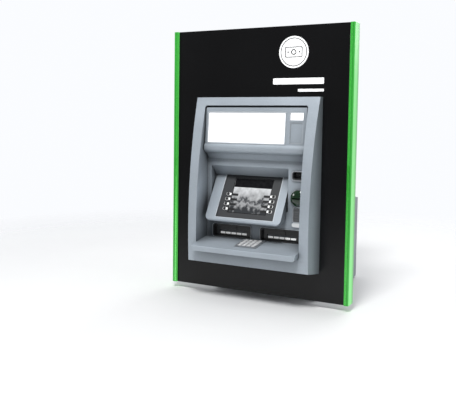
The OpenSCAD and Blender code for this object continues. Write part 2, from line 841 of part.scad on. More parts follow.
module cabinet_door() {
    y1 = cabinet_y2 + gap;
    y2 = y1 + 18;
    half = cabinet_w / 2 - 3;
    low = safe_top + 6;
    high = cabinet_top - 4;
    color("#cdd1d6") difference() {
        union() {
            difference() {
                block([-half, y1, low], [half, y2, high]);
                block([-half + metal_t, y1 - 1, low + metal_t], [half - metal_t, y2 - metal_t, high - metal_t]);
            }
            for (z = cabinet_hinges) door_knuckle(cabinet_hinge_y, z);
            rod_y(latch_x, latch_z, 14, y1 + 2, y2);
        }
        for (z = cabinet_hinges) hinge_bore(cabinet_hinge_y, z);
        rod_y(latch_x, latch_z, 6 + FIT, y1 - 5, y2 + 5);
        for (side = [-1, 1], base = [low + 60, high - 160], i = [0 : 7])
            block([side * 110 - 70, y2 - 5, base + i * 12], [side * 110 + 70, y2 + 5, base + i * 12 + 5]);
    }
}

module cabinet_latch() {
    face = cabinet_y2 + gap + 18 + 0.3;
    color("#3b3d40") {
        rod_y(latch_x, latch_z, 6, cabinet_y2 - 8, face + 2);
        block([latch_x - 7, cabinet_y2 - 8, latch_z - 33], [latch_x + 7, cabinet_y2 - 5, latch_z + 7]);
        rod_y(latch_x, latch_z, 15, face, face + 8);
        block([latch_x - 4.5, face + 7, latch_z - 22], [latch_x + 4.5, face + 20, latch_z + 22]);
    }
}

// ---- Modules inside --------------------------------------------------------------------------

// Note transport from just behind a shutter, with its note channel open at the front
module transport(x, y2, channel_y) {
    difference() {
        block([x - transport_w / 2, transport_y, gate_z - transport_h / 2],
              [x + transport_w / 2, y2, gate_z + transport_h / 2]);
        block([x - gate_w / 2 - 3, transport_y - 1, gate_z - 5], [x + gate_w / 2 + 3, channel_y, gate_z + 5]);
    }
}

module note_dispenser() {
    floor_z = base_t - mid_z;
    side = transport_w / 2 + 12;
    y1 = wall_gap + 45;
    y2 = y1 + 450;
    color("#84898f") at_front() {
        transport(cash_x, y2 - 80, y2 - 190);
        for (s = [-1, 1])
            block([cash_x + s * side - 1.5, y1, floor_z], [cash_x + s * side + 1.5, y2, gate_z + 50]);
        block([cash_x - side, y1, floor_z], [cash_x + side, y2, floor_z + 3]);
        for (y = [y1 + 15, y1 + 190, y2 - 100])
            rod_x(y, gate_z, 7, cash_x - side, cash_x + side);
        rod_x(y1 + 10, floor_z + 90, 7, cash_x - side, cash_x + side);
        for (i = [0 : 3])
            rod_x(y1 + 60 + i * 95, gate_z + 14 * (i % 2), 13, cash_x + side, cash_x + side + 8);
    }
}

module cash_cassettes() {
    floor_z = base_t - mid_z + 5;
    half = transport_w / 2 + 3;
    y1 = wall_gap + 80;
    y2 = y1 + 430;
    color("#5b6067") at_front() for (i = [0, 1]) {
        z = floor_z + i * (cassette_h + 6);
        difference() {
            block([cash_x - half, y1, z], [cash_x + half, y2, z + cassette_h]);
            block([cash_x - half - 1, y1 + 40, z + cassette_h - 22], [cash_x - half + 2, y2 - 12, z + cassette_h - 16]);
            block([cash_x + half - 2, y1 + 40, z + cassette_h - 22], [cash_x + half + 1, y2 - 12, z + cassette_h - 16]);
            block([cash_x - 50, y2 - 18, z + cassette_h / 2 - 16], [cash_x + 50, y2 + 1, z + cassette_h / 2 + 16]);
        }
        rod_x(y2 - 8, z + cassette_h / 2, 6, cash_x - 51, cash_x + 51);
    }
}

module deposit_module() {
    floor_z = base_t - mid_z;
    bin_y = wall_gap + 90;
    bin_top = floor_z + 280;
    color("#767c84") at_front() {
        transport(deposit_x, bin_y + 120, bin_y);
        block([deposit_x - 40, bin_y + 40, bin_top - 1], [deposit_x + 40, bin_y + 110, gate_z - transport_h / 2 + 1]);
        difference() {
            block([deposit_x - transport_w / 2, bin_y, floor_z], [deposit_x + transport_w / 2, bin_y + 420, bin_top]);
            block([deposit_x - 50, bin_y + 404, floor_z + 200], [deposit_x + 50, bin_y + 421, floor_z + 232]);
        }
        rod_x(bin_y + 412, floor_z + 216, 6, deposit_x - 51, deposit_x + 51);
    }
}

module card_reader() {
    color("#55595e") at_front() difference() {
        union() {
            block([column_x - 46, 1, card_z - 28], [column_x + 46, 250, card_z + 28]);
            block([column_x - 50, 45, card_z - 34], [column_x + 50, 220, card_z - 20]);
        }
        block([column_x - 30, 0, card_z - 2.5], [column_x + 30, 200, card_z + 2.5]);
        for (i = [0 : 5])
            block([column_x - 30, 60 + i * 26, card_z + 22], [column_x + 30, 72 + i * 26, card_z + 30]);
    }
}

module receipt_printer() {
    low = card_z + 38;
    high = roll_z - paper_r - 20;
    half = paper_w / 2 + 4;
    color("#c3c6c9") at_front() {
        difference() {
            block([column_x - half - 4, 21, low], [column_x + half + 4, roll_y + 75, high]);
            along_y(20, 60) translate([column_x, receipt_z - 6]) square([60, 6], center = true);
            block([column_x - 20, roll_y + 60, low + 20], [column_x + 20, roll_y + 76, high - 30]);
        }
        for (s = [-1, 1])
            block([column_x + s * (half + 2) - 2, roll_y - 50, high - 1], [column_x + s * (half + 2) + 2, roll_y + 50, roll_z + 22]);
        rod_x(roll_y, roll_z, spindle_r, column_x - half - 3, column_x + half + 3);
    }
}

module paper_roll() {
    color("#f4f3ee") at_front() difference() {
        rod_x(roll_y, roll_z, paper_r, column_x - paper_w / 2, column_x + paper_w / 2);
        rod_x(roll_y, roll_z, spindle_r + FIT, column_x - paper_w, column_x + paper_w);
    }
}

module pc_core() {
    x1 = -cabinet_w / 2 + 15;
    y2 = cabinet_y2 - 50;
    z1 = safe_top + metal_t;
    color("#35383c") difference() {
        block([x1, y2 - 300, z1], [x1 + 190, y2, z1 + 360]);
        for (i = [0 : 9])
            block([x1 + 20, y2 - 4, z1 + 210 + i * 13], [x1 + 110, y2 + 1, z1 + 216 + i * 13]);
        for (i = [0 : 4])
            block([x1 + 130, y2 - 6, z1 + 60 + i * 40], [x1 + 160, y2 + 1, z1 + 76 + i * 40]);
        block([x1 + 20, y2 - 8, z1 + 40], [x1 + 110, y2 + 1, z1 + 80]);
    }
}

// ---- Drawing ---------------------------------------------------------------------------------

surround_panel();
edge_strips();
surround_frame();
fascia_frame();
header_hood();
sign_windows();
sign_lamps();
recess_panel();
screen_bezel();
screen_mask();
display_module();
receipt_mouth();
card_bezel();
card_guide();
cash_mouth();
cash_shutter();
deposit_mouth();
deposit_shutter();
shelf();
keypad_plate();
cabinet();
cabinet_door();
cabinet_latch();
safe_body();
safe_door();
safe_handle();
safe_dial();
safe_bolts();
hinge_pins();
note_dispenser();
cash_cassettes();
deposit_module();
card_reader();
receipt_printer();
paper_roll();
pc_core();
key(0, 0);  // key_11
key(0, 1);  // key_12
key(0, 2);  // key_13
key(0, 3);  // key_14
key(1, 0);  // key_21
key(1, 1);  // key_22
key(1, 2);  // key_23
key(1, 3);  // key_24
key(2, 0);  // key_31
key(2, 1);  // key_32
key(2, 2);  // key_33
key(2, 3);  // key_34
key(3, 0);  // key_41
key(3, 1);  // key_42
key(3, 2);  // key_43
key(3, 3);  // key_44
menu_key(-1, 0);  // menu_l1
menu_key(-1, 1);  // menu_l2
menu_key(-1, 2);  // menu_l3
menu_key(-1, 3);  // menu_l4
menu_key(1, 0);  // menu_r1
menu_key(1, 1);  // menu_r2
menu_key(1, 2);  // menu_r3
menu_key(1, 3);  // menu_r4
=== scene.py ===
import json
import math

import bmesh
import bpy
from mathutils import Matrix, Vector


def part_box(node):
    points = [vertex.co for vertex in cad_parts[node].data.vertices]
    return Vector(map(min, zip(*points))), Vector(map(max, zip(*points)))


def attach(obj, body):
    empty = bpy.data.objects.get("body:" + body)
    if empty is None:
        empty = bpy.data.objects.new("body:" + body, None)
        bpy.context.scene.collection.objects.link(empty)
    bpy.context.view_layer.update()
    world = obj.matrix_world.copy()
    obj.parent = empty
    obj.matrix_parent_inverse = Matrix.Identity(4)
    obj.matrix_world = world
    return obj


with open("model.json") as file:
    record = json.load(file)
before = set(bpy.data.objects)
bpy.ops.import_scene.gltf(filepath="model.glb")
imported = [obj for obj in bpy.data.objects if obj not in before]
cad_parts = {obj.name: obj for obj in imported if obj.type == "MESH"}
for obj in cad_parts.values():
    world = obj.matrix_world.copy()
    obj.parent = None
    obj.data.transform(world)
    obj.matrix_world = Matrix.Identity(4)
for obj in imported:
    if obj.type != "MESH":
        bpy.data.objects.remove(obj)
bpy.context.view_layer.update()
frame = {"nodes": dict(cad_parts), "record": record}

NODES = frame["nodes"]
MM = 0.001

# ---- Places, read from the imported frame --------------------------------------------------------

SHEET_LOW, SHEET_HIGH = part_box("surround_panel")
FRONT = Vector((0, SHEET_LOW.y, (SHEET_LOW.z + SHEET_HIGH.z) / 2))


def at(x, y, z):
    """A point of the front's own frame, in millimetres from the middle of the face sheet."""
    return FRONT + Vector((x, y, z)) * MM


# Places on the front, in the frame that at() takes
STRIP_X = 483.5
EMBLEM_X, EMBLEM_Z = 188, 546
HOOD_FOOT_Y, HOOD_FOOT_Z = -54, 68
HOOD_RISE = (0, 16, 206)
SIGN_X, SIGN_Z = -48.5, 171.5
WINDOW_X, WINDOW_Z, PAD_Z = 228.5, 230.5, 149.5
SCREEN_TOP_Y, SCREEN_TOP_Z, SCREEN_LEAN = 38, -80, 30
BEZEL_X, BEZEL_V = -35.5, -111.5
SCREEN_X, SCREEN_V = -33, -107
MASK_DEPTH, GLASS_DEPTH, PICTURE_DEPTH = -8, -12.4, -13.95
COLUMN_X, COLUMN_Y = 235, -13
RECEIPT_Z, CARD_Z, GUIDE_X, GUIDE_Z = -61.5, -172, 236.5, -255
LAMP_X, LAMP_Z = 231, -305.5
MOUTH_X, MOUTH_Z, SHUTTER_Z = 138, -366, -381
SHELF_Y, SHELF_Z, SHELF_SLOPE = -72, -410.4, 9.5
KEY_PITCH, KEY_TOP = 25, 5.5

# Places on the service side, in millimetres of the frame itself
LATCH_X, LATCH_Z = 250, 815
SAFE_DOOR_Y, SAFE_DOOR_Z = 345.5, 240
DIAL_X, HANDLE_X = -40, 130
CABINET_SIDE_X, CABINET_MIDDLE_Y = 290, -60


# ---- Camera, floor and light --------------------------------------------------------------------

def place_camera():
    """The photograph's view, as fitted to the corners of the surround and the fascia."""
    yaw, pitch, roll = math.radians(28.46), math.radians(-4.02), math.radians(0.78)
    level = Vector((-math.sin(yaw), math.cos(yaw), 0))
    right = Vector((math.cos(yaw), math.sin(yaw), 0))
    up = Vector((0, 0, 1))
    ahead = math.cos(pitch) * level + math.sin(pitch) * up
    over = -math.sin(pitch) * level + math.cos(pitch) * up
    side = math.cos(roll) * right + math.sin(roll) * over
    top = -math.sin(roll) * right + math.cos(roll) * over
    data = bpy.data.cameras.new("camera")
    data.sensor_width = 36
    data.lens = 53.6763
    data.shift_y = -0.06579
    camera = bpy.data.objects.new("camera", data)
    bpy.context.scene.collection.objects.link(camera)
    turn = Matrix((side, top, -ahead)).transposed().to_4x4()
    camera.matrix_world = Matrix.Translation(at(1513.7, -3106.8, 198.6)) @ turn
    bpy.context.scene.camera = camera


def lamp(name, place, aim, size, power, color=(1, 1, 1)):
    """A square area lamp turned towards aim, in metres and watts."""
    data = bpy.data.lights.new(name, "AREA")
    data.energy, data.color, data.size = power, color, size
    light = bpy.data.objects.new(name, data)
    bpy.context.scene.collection.objects.link(light)
    light.location = place
    light.rotation_mode = "QUATERNION"
    light.rotation_quaternion = (Vector(aim) - Vector(place)).to_track_quat("-Z", "Y")


def sky():
    """A white studio behind the object that dims towards the customer's side."""
    world = bpy.data.worlds.new("studio")
    bpy.context.scene.world = world
    world.use_nodes = True
    tree = world.node_tree
    where = tree.nodes.new("ShaderNodeTexCoord").outputs["Generated"]
    split = tree.nodes.new("ShaderNodeSeparateXYZ")
    tree.links.new(where, split.inputs[0])
    ramp = tree.nodes.new("ShaderNodeMapRange")
    tree.links.new(split.outputs["Y"], ramp.inputs["Value"])
    for name, value in zip(("From Min", "From Max", "To Min", "To Max"), (-0.5, 0.3, 0.22, 1.0)):
        ramp.inputs[name].default_value = value
    back = tree.nodes["Background"]
    back.inputs["Color"].default_value = (0.96, 0.975, 1.0, 1)
    tree.links.new(ramp.outputs["Result"], back.inputs["Strength"])


def studio():
    """The sky, a round floor that thins out, and four lamps."""
    sky()
    bm = bmesh.new()
    bmesh.ops.create_circle(bm, cap_ends=True, radius=9, segments=96)
    mesh = bpy.data.meshes.new("floor")
    bm.to_mesh(mesh)
    bm.free()
    floor = bpy.data.objects.new("floor", mesh)
    bpy.context.scene.collection.objects.link(floor)
    floor.location.z = -0.001
    mesh.materials.append(floor_finish())
    fascia = (0, -0.4, 0.7)
    lamp("key", (0.6, -2.9, 4.2), fascia, 1.0, 190)
    lamp("side", (-3.6, -2.2, 2.0), fascia, 1.0, 20)
    lamp("fill", (3.4, -3.2, 1.2), fascia, 1.6, 5, (0.95, 0.97, 1))
    lamp("back", (0.4, 4.2, 3.0), (0, 0.1, 0.7), 3.0, 90)
    bpy.context.scene.view_settings.view_transform = "Standard"


# ---- Materials ----------------------------------------------------------------------------------

def shade(color, factor):
    return tuple(min(1, c * factor) for c in color) + (1,)


class Finish:
    """A Principled material being made, with its textures laid out in object coordinates."""

    def __init__(self, name):
        self.material = bpy.data.materials.new(name)
        self.material.use_nodes = True
        self.tree = self.material.node_tree
        self.bsdf = self.tree.nodes["Principled BSDF"]
        self.where = self.tree.nodes.new("ShaderNodeTexCoord").outputs["Object"]

    def node(self, kind, **inputs):
        made = self.tree.nodes.new("ShaderNode" + kind)
        for key, value in inputs.items():
            name = key.replace("_", " ")
            if isinstance(value, bpy.types.NodeSocket):
                self.tree.links.new(value, made.inputs[name])
            else:
                made.inputs[name].default_value = value
        return made

    def link(self, source, name):
        self.tree.links.new(source, self.bsdf.inputs[name])

    def fix(self, **values):
        for key, value in values.items():
            self.bsdf.inputs[key.replace("_", " ")].default_value = value

    def stretch(self, scale):
        """Object coordinates multiplied per axis."""
        made = self.node("Mapping", Vector=self.where)
        made.inputs["Scale"].default_value = scale
        return made.outputs["Vector"]

    def noise(self, scale, detail=3, vector=None):
        made = self.node("TexNoise", Vector=vector or self.where, Scale=scale, Detail=detail)
        return made.outputs["Fac"]

    def ramp(self, factor, *stops):
        """A colour ramp; each stop is (position, colour)."""
        made = self.node("ValToRGB", Fac=factor)
        while len(made.color_ramp.elements) < len(stops):
            made.color_ramp.elements.new(0.5)
        for element, (position, color) in zip(made.color_ramp.elements, stops):
            element.position, element.color = position, color
        return made.outputs["Color"]

    def span(self, factor, low, high, start=0.3, end=0.7):
        """A number taken from start...end to low...high, and held at the ends."""
        made = self.node("MapRange", Value=factor)
        for name, value in zip(("From Min", "From Max", "To Min", "To Max"), (start, end, low, high)):
            made.inputs[name].default_value = value
        return made.outputs["Result"]

    def times(self, color, factor):
        """A colour scaled by a number."""
        made = self.tree.nodes.new("ShaderNodeVectorMath")
        made.operation = "SCALE"
        self.tree.links.new(color, made.inputs[0])
        self.tree.links.new(factor, made.inputs["Scale"])
        return made.outputs["Vector"]

    def bump(self, height, strength, distance):
        return self.node("Bump", Height=height, Strength=strength, Distance=distance).outputs["Normal"]


def surface(name, color, rough, metal=0.0, mottle=(6, 0.05), smudge=(9, 0.06), grain=(900, 0.1, 0.0002),
            coat=0.0, specular=0.5, brushed=None, speckle=0.0, painted_crevice_shade=0.0):
    """Paint, plastic or metal: mottled colour, smudged gloss and a fine surface grain.

    speckle scatters fine light and dark flecks. The crevice amount is painted shade: ambient occlusion darkens
    the colour in corners and recesses.
    mottle and smudge are (scale, amount), and grain is (scale, strength, height in metres).
    """
    f = Finish(name)
    f.fix(Metallic=metal, Coat_Weight=coat, Coat_Roughness=0.12, Specular_IOR_Level=specular)
    cloud = f.noise(mottle[0], 4)
    paint = f.ramp(cloud, (0.3, shade(color, 1 - mottle[1])), (0.7, shade(color, 1 + mottle[1])))
    if speckle:
        paint = f.times(paint, f.span(f.noise(420, 1), 1 - speckle, 1 + speckle, 0.35, 0.65))
    if painted_crevice_shade:
        # Painted shade: ambient occlusion darkens the base colour in corners and recesses.
        occlusion_shade = f.node("AmbientOcclusion", Distance=0.11).outputs["AO"]
        paint = f.times(paint, f.span(occlusion_shade, 1 - painted_crevice_shade, 1.0, 0.3, 0.97))
    f.link(paint, "Base Color")
    f.link(f.span(f.noise(smudge[0], 5), rough - smudge[1], rough + smudge[1]), "Roughness")
    vector = f.stretch(brushed) if brushed else None
    f.link(f.bump(f.noise(grain[0], 2, vector), grain[1], grain[2]), "Normal")
    return f.material


def lit(material, color, strength):
    """Light from inside a finish, the same all over: a lamp's glow for the sign and the oval lamp, and painted
    glow for the emblem, the white legends and the strips' highlight bands.
    """
    bsdf = material.node_tree.nodes["Principled BSDF"]
    bsdf.inputs["Emission Color"].default_value = color + (1,)
    bsdf.inputs["Emission Strength"].default_value = strength
    return material


def floor_finish():
    """A plain pale floor that thins out into the white studio around it."""
    f = Finish("floor")
    f.fix(Roughness=0.7)
    f.link(f.ramp(f.noise(0.8, 3), (0.3, (0.7, 0.7, 0.7, 1)), (0.7, (0.74, 0.74, 0.74, 1))), "Base Color")
    reach = f.tree.nodes.new("ShaderNodeVectorMath")
    reach.operation = "LENGTH"
    f.tree.links.new(f.where, reach.inputs[0])
    f.link(f.span(reach.outputs["Value"], 1.0, 0.0, 1.0, 3.4), "Alpha")
    return f.material


def strip_finish():
    """A translucent green edge: dim on its front, brightest just behind it and fading to the wall."""
    f = Finish("edge_light")
    f.fix(Roughness=0.3, Coat_Weight=0.3)
    split = f.node("SeparateXYZ", Vector=f.where)
    depth = f.span(split.outputs["Y"], 0.0, 1.0, SHEET_LOW.y - 0.011, SHEET_LOW.y + 0.057)
    green = f.ramp(depth, (0.0, (0.03, 0.3, 0.035, 1)), (0.02, (0.05, 0.42, 0.055, 1)),
                   (0.1, (0.12, 0.66, 0.12, 1)), (0.55, (0.11, 0.62, 0.11, 1)), (1.0, (0.03, 0.27, 0.035, 1)))
    f.link(green, "Base Color")
    f.link(green, "Emission Color")
    f.link(f.span(f.noise(2.2, 2), 0.34, 0.44), "Emission Strength")
    f.link(f.bump(f.noise(300, 2), 0.04, 0.0002), "Normal")
    return f.material


def picture_finish():
    """The screen's picture: a dark bar over a pale sky, with dark hills along its foot."""
    f = Finish("picture")
    f.fix(Roughness=0.3, Specular_IOR_Level=0.08)
    split = f.node("SeparateXYZ", Vector=f.where)
    shift = f.span(f.noise(34, 5, f.stretch((1, 0.8, 1))), -0.028, 0.028)
    height = f.tree.nodes.new("ShaderNodeMath")
    height.operation = "ADD"
    f.tree.links.new(split.outputs["Y"], height.inputs[0])
    f.tree.links.new(shift, height.inputs[1])
    land = f.ramp(f.span(height.outputs[0], 0.0, 1.0, -0.1, 0.1),
                  (0.12, (0.03, 0.032, 0.035, 1)), (0.26, (0.26, 0.265, 0.27, 1)),
                  (0.36, (0.03, 0.032, 0.036, 1)), (0.46, (0.24, 0.245, 0.25, 1)), (0.8, (0.5, 0.51, 0.52, 1)))
    bar = f.span(split.outputs["Y"], 0.0, 1.0, 0.0475, 0.0485)
    mixed = f.tree.nodes.new("ShaderNodeMix")
    mixed.data_type = "RGBA"
    f.tree.links.new(bar, mixed.inputs["Factor"])
    f.tree.links.new(land, mixed.inputs[6])
    top = f.ramp(f.noise(60, 3), (0.4, (0.004, 0.004, 0.005, 1)), (0.65, (0.009, 0.009, 0.01, 1)))
    f.tree.links.new(top, mixed.inputs[7])
    f.link(mixed.outputs[2], "Base Color")
    f.link(mixed.outputs[2], "Emission Color")
    f.fix(Emission_Strength=0.45)
    return f.material


def make_materials():
    """The record's slots first, then the finishes of the Blender pieces."""
    return {
        "face_sheet": surface("face_sheet", (0.003, 0.003, 0.0034), 0.24, mottle=(3, 0.2),
                              smudge=(4, 0.02), grain=(500, 0.02, 0.0002), specular=0.3),
        "edge_light": strip_finish(),
        "tray_steel": surface("tray_steel", (0.3, 0.31, 0.33), 0.5, 0.2),
        # The fascia's crevice amount paints shade into its corners and recesses.
        "fascia": surface("fascia", (0.4, 0.45, 0.5), 0.4, 0.3, grain=(1400, 0.12, 0.00015),
                          speckle=0.07, painted_crevice_shade=0.85),
        "sign_acrylic": lit(surface("sign_acrylic", (0.9, 0.9, 0.9), 0.3, mottle=(5, 0.01)),
                            (1, 1, 1), 0.75),
        "lamp_board": surface("lamp_board", (0.7, 0.72, 0.65), 0.5),
        "mask": surface("mask", (0.045, 0.047, 0.05), 0.5, grain=(1400, 0.1, 0.0001), specular=0.3),
        "display": surface("display", (0.012, 0.012, 0.014), 0.3),
        "mouth": surface("mouth", (0.008, 0.008, 0.009), 0.22, mottle=(20, 0.2), coat=0.4),
        "card_green": surface("card_green", (0.001, 0.02, 0.004), 0.12, mottle=(30, 0.2), coat=0.6),
        # Painted shade in the guide's corners, by its crevice amount.
        "guide": surface("guide", (0.11, 0.115, 0.12), 0.45, painted_crevice_shade=0.5),
        "shutter": surface("shutter", (0.1, 0.105, 0.11), 0.4, 0.4, brushed=(1, 1, 20)),
        "pad_steel": surface("pad_steel", (0.26, 0.28, 0.31), 0.38, 0.7, brushed=(1, 30, 1)),
        # Painted shade round the keys, by their crevice amount.
        "key_face": surface("key_face", (0.8, 0.81, 0.82), 0.36, 0.15, painted_crevice_shade=0.4),
        "menu_key": surface("menu_key", (0.008, 0.008, 0.009), 0.35),
        "cabinet": surface("cabinet", (0.48, 0.5, 0.53), 0.5, 0.1, grain=(420, 0.25, 0.0003)),
        "latch": surface("latch", (0.02, 0.02, 0.022), 0.4),
        "safe": surface("safe", (0.26, 0.28, 0.31), 0.5, 0.15, grain=(260, 0.35, 0.0005)),
        "handle": surface("handle", (0.75, 0.75, 0.76), 0.15, 1.0, smudge=(14, 0.04)),
        "dial": surface("dial", (0.01, 0.01, 0.012), 0.3),
        "bare_steel": surface("bare_steel", (0.55, 0.56, 0.58), 0.28, 1.0, brushed=(1, 1, 12)),
        "module": surface("module", (0.5, 0.51, 0.53), 0.4, 0.85),
        "cassette": surface("cassette", (0.03, 0.033, 0.037), 0.5),
        "reader": surface("reader", (0.02, 0.021, 0.023), 0.5),
        "printer": surface("printer", (0.45, 0.46, 0.47), 0.5),
        "paper": surface("paper", (0.86, 0.85, 0.8), 0.7, grain=(800, 0.1, 0.0001)),
        "computer": surface("computer", (0.02, 0.021, 0.023), 0.45, grain=(420, 0.2, 0.0003)),
        # Painted highlight: a lit green band standing for light along the strips' rounded fronts.
        "painted_highlight_green": lit(surface("painted_highlight_green", (0.16, 0.7, 0.16), 0.25, mottle=(4, 0.04)),
                           (0.14, 0.7, 0.14), 0.42),
        "lens_line": surface("lens_line", (0.01, 0.12, 0.015), 0.4),
        # Painted glow: the emblem's white lights itself, though it is no lamp.
        "emblem": lit(surface("emblem", (0.85, 0.86, 0.86), 0.4, mottle=(12, 0.03)),
                      (1, 1, 1), 0.4),
        "emblem_dark": surface("emblem_dark", (0.008, 0.008, 0.009), 0.4),
        # Painted shade in the corners of the light rims, by their crevice amount.
        "fascia_light": surface("fascia_light", (0.56, 0.6, 0.64), 0.38, 0.25,
                                grain=(1400, 0.1, 0.00015), painted_crevice_shade=0.4),
        "rim": surface("rim", (0.5, 0.53, 0.57), 0.3, 0.6),
        # Painted glow: the white legends, shutter segments and dial marks light themselves, though they are no
        # lamp.
        "legend_white_painted_glow": lit(surface("legend_white_painted_glow", (0.85, 0.86, 0.86), 0.4, mottle=(40, 0.03)),
                            (1, 1, 1), 0.3),
        "picture": picture_finish(),
        "lamp_oval": lit(surface("lamp_oval", (0.68, 0.7, 0.71), 0.3, mottle=(30, 0.02)),
                         (1, 1, 1), 0.06),
        "screw": surface("screw", (0.5, 0.51, 0.53), 0.32, 0.9),
        "screw_socket": surface("screw_socket", (0.02, 0.02, 0.022), 0.6),
    }


def dress_nodes(materials):
    """Each CAD node gets small bevels on its sharp edges and its slot's finish."""
    slots = {}
    for part in frame["record"]["subparts"]:
        slots[part["node"]] = part["material_slot"]
    for name, obj in NODES.items():
        if "custom_normal" in obj.data.attributes:
            obj.data.attributes.remove(obj.data.attributes["custom_normal"])
        weld = obj.modifiers.new("weld", "WELD")
        weld.merge_threshold = 0.00001
        bevel = obj.modifiers.new("bevel", "BEVEL")
        bevel.limit_method, bevel.angle_limit = "ANGLE", math.radians(38)
        bevel.width, bevel.segments = 0.0007, 2
        bevel.use_clamp_overlap = True
        normals = obj.modifiers.new("normals", "WEIGHTED_NORMAL")
        normals.keep_sharp = True
        obj.data.materials.clear()
        obj.data.materials.append(materials[slots[name]])


# ---- Detail pieces -------------------------------------------------------------------------------

def plane_on(origin, x_axis, y_axis):
    """A matrix whose Z looks out of a surface."""
    x, y = Vector(x_axis).normalized(), Vector(y_axis).normalized()
    z = x.cross(y)
    return Matrix.Translation(origin) @ Matrix((
        (x.x, y.x, z.x), (x.y, y.y, z.y), (x.z, y.z, z.z))).to_4x4()


def on_front(x, y, z):
    return plane_on(at(x, y, z), (1, 0, 0), (0, 0, 1))


def on_hood(x, z):
    """On the hood's sloping front, at height z."""
    rise = Vector(HOOD_RISE).normalized()
    foot = Vector((x, HOOD_FOOT_Y, HOOD_FOOT_Z)) + rise * ((z - HOOD_FOOT_Z) / rise.z)
    return plane_on(at(*foot), (1, 0, 0), rise)


def on_screen(x, v, n):
    """On the tilted screen: v up its face from its top edge, and n out of it."""
    lean = math.radians(SCREEN_LEAN)
    rise = Vector((0, math.sin(lean), math.cos(lean)))
    out = Vector((0, -math.cos(lean), math.sin(lean)))
    place = Vector((x, SCREEN_TOP_Y, SCREEN_TOP_Z)) + rise * v + out * n
    return plane_on(at(*place), (1, 0, 0), rise)


def on_shelf(x, y, z):
    """On the shelf, from the middle of the keypad: y towards the wall and z out of the shelf."""
    slope = math.radians(SHELF_SLOPE)
    back = Vector((0, math.cos(slope), math.sin(slope)))
    out = Vector((0, -math.sin(slope), math.cos(slope)))
    place = Vector((x, SHELF_Y, SHELF_Z)) + back * y + out * z
    return plane_on(at(*place), (1, 0, 0), back)


def on_rear(x, y, z):
    return plane_on(Vector((x, y, z)) * MM, (-1, 0, 0), (0, 0, 1))


def on_side(x, y, z, sign):
    return plane_on(Vector((x, y, z)) * MM, (0, sign, 0), (0, 0, 1))


def on_top(x, y, z):
    return plane_on(Vector((x, y, z)) * MM, (1, 0, 0), (0, 1, 0))


def round_outline(w, h, r, steps=6):
    """Points of a rectangle with round corners, in millimetres about its centre."""
    r = min(r, w / 2, h / 2)
    points = []
    for cx, cy, start in ((1, 1, 0), (-1, 1, 90), (-1, -1, 180), (1, -1, 270)):
        for i in range(steps + 1):
            a = math.radians(start + 90 * i / steps)
            points.append((cx * (w / 2 - r) + r * math.cos(a), cy * (h / 2 - r) + r * math.sin(a)))
    return points


def piece(name, bm, matrix, finish, body="housing", bevel=0.3):
    """One visible piece made from bm, riding on a body; bevel is in millimetres."""
    bmesh.ops.recalc_face_normals(bm, faces=bm.faces)
    mesh = bpy.data.meshes.new(name)
    bm.to_mesh(mesh)
    bm.free()
    obj = bpy.data.objects.new(name, mesh)
    bpy.context.scene.collection.objects.link(obj)
    obj.matrix_world = matrix
    if bevel:
        edge = obj.modifiers.new("bevel", "BEVEL")
        edge.width, edge.segments = bevel * MM, 2
        edge.limit_method, edge.angle_limit = "ANGLE", math.radians(40)
    for poly in mesh.polygons:
        poly.use_smooth = True
    normals = obj.modifiers.new("normals", "WEIGHTED_NORMAL")
    normals.keep_sharp = True
    mesh.materials.append(MATERIALS[finish])
    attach(obj, body)
    return obj


def add_slab(bm, points, z1, z2, dx=0.0, dy=0.0):
    """A flat outline from z1 to z2, moved by dx and dy, in millimetres."""
    low = [bm.verts.new(((x + dx) * MM, (y + dy) * MM, z1 * MM)) for x, y in points]
    high = [bm.verts.new(((x + dx) * MM, (y + dy) * MM, z2 * MM)) for x, y in points]
    bm.faces.new(low[::-1])
    bm.faces.new(high)
    for i in range(len(points)):
        j = (i + 1) % len(points)
        bm.faces.new((low[i], low[j], high[j], high[i]))


def add_ring(bm, outer, inner, z1, z2, dx=0.0, dy=0.0):
    """A closed band between two outlines that have the same number of points."""
    rows = [[bm.verts.new(((x + dx) * MM, (y + dy) * MM, z * MM)) for x, y in points]
            for points, z in ((outer, z1), (outer, z2), (inner, z2), (inner, z1))]
    for a, b in zip(rows, rows[1:] + rows[:1]):
        for i in range(len(outer)):
            j = (i + 1) % len(outer)
            bm.faces.new((a[i], a[j], b[j], b[i]))


def slabs(name, shapes, matrix, finish, body="housing", bevel=0.3):
    """Slabs of one piece: each is (points, z1, z2, dx, dy)."""
    bm = bmesh.new()
    for shape in shapes:
        add_slab(bm, *shape)
    return piece(name, bm, matrix, finish, body, bevel)


def ring(name, w, h, r, band, z1, z2, matrix, finish, body="housing", bevel=0.3):
    """A rectangular frame with round corners, band wide."""
    bm = bmesh.new()
    inner = round_outline(w - 2 * band, h - 2 * band, max(r - band, 0.5), 10)
    add_ring(bm, round_outline(w, h, r, 10), inner, z1, z2)
    return piece(name, bm, matrix, finish, body, bevel)


def disc(r, steps=10):
    """The outline of a circle, with steps to a quarter."""
    return round_outline(2 * r, 2 * r, r, steps)


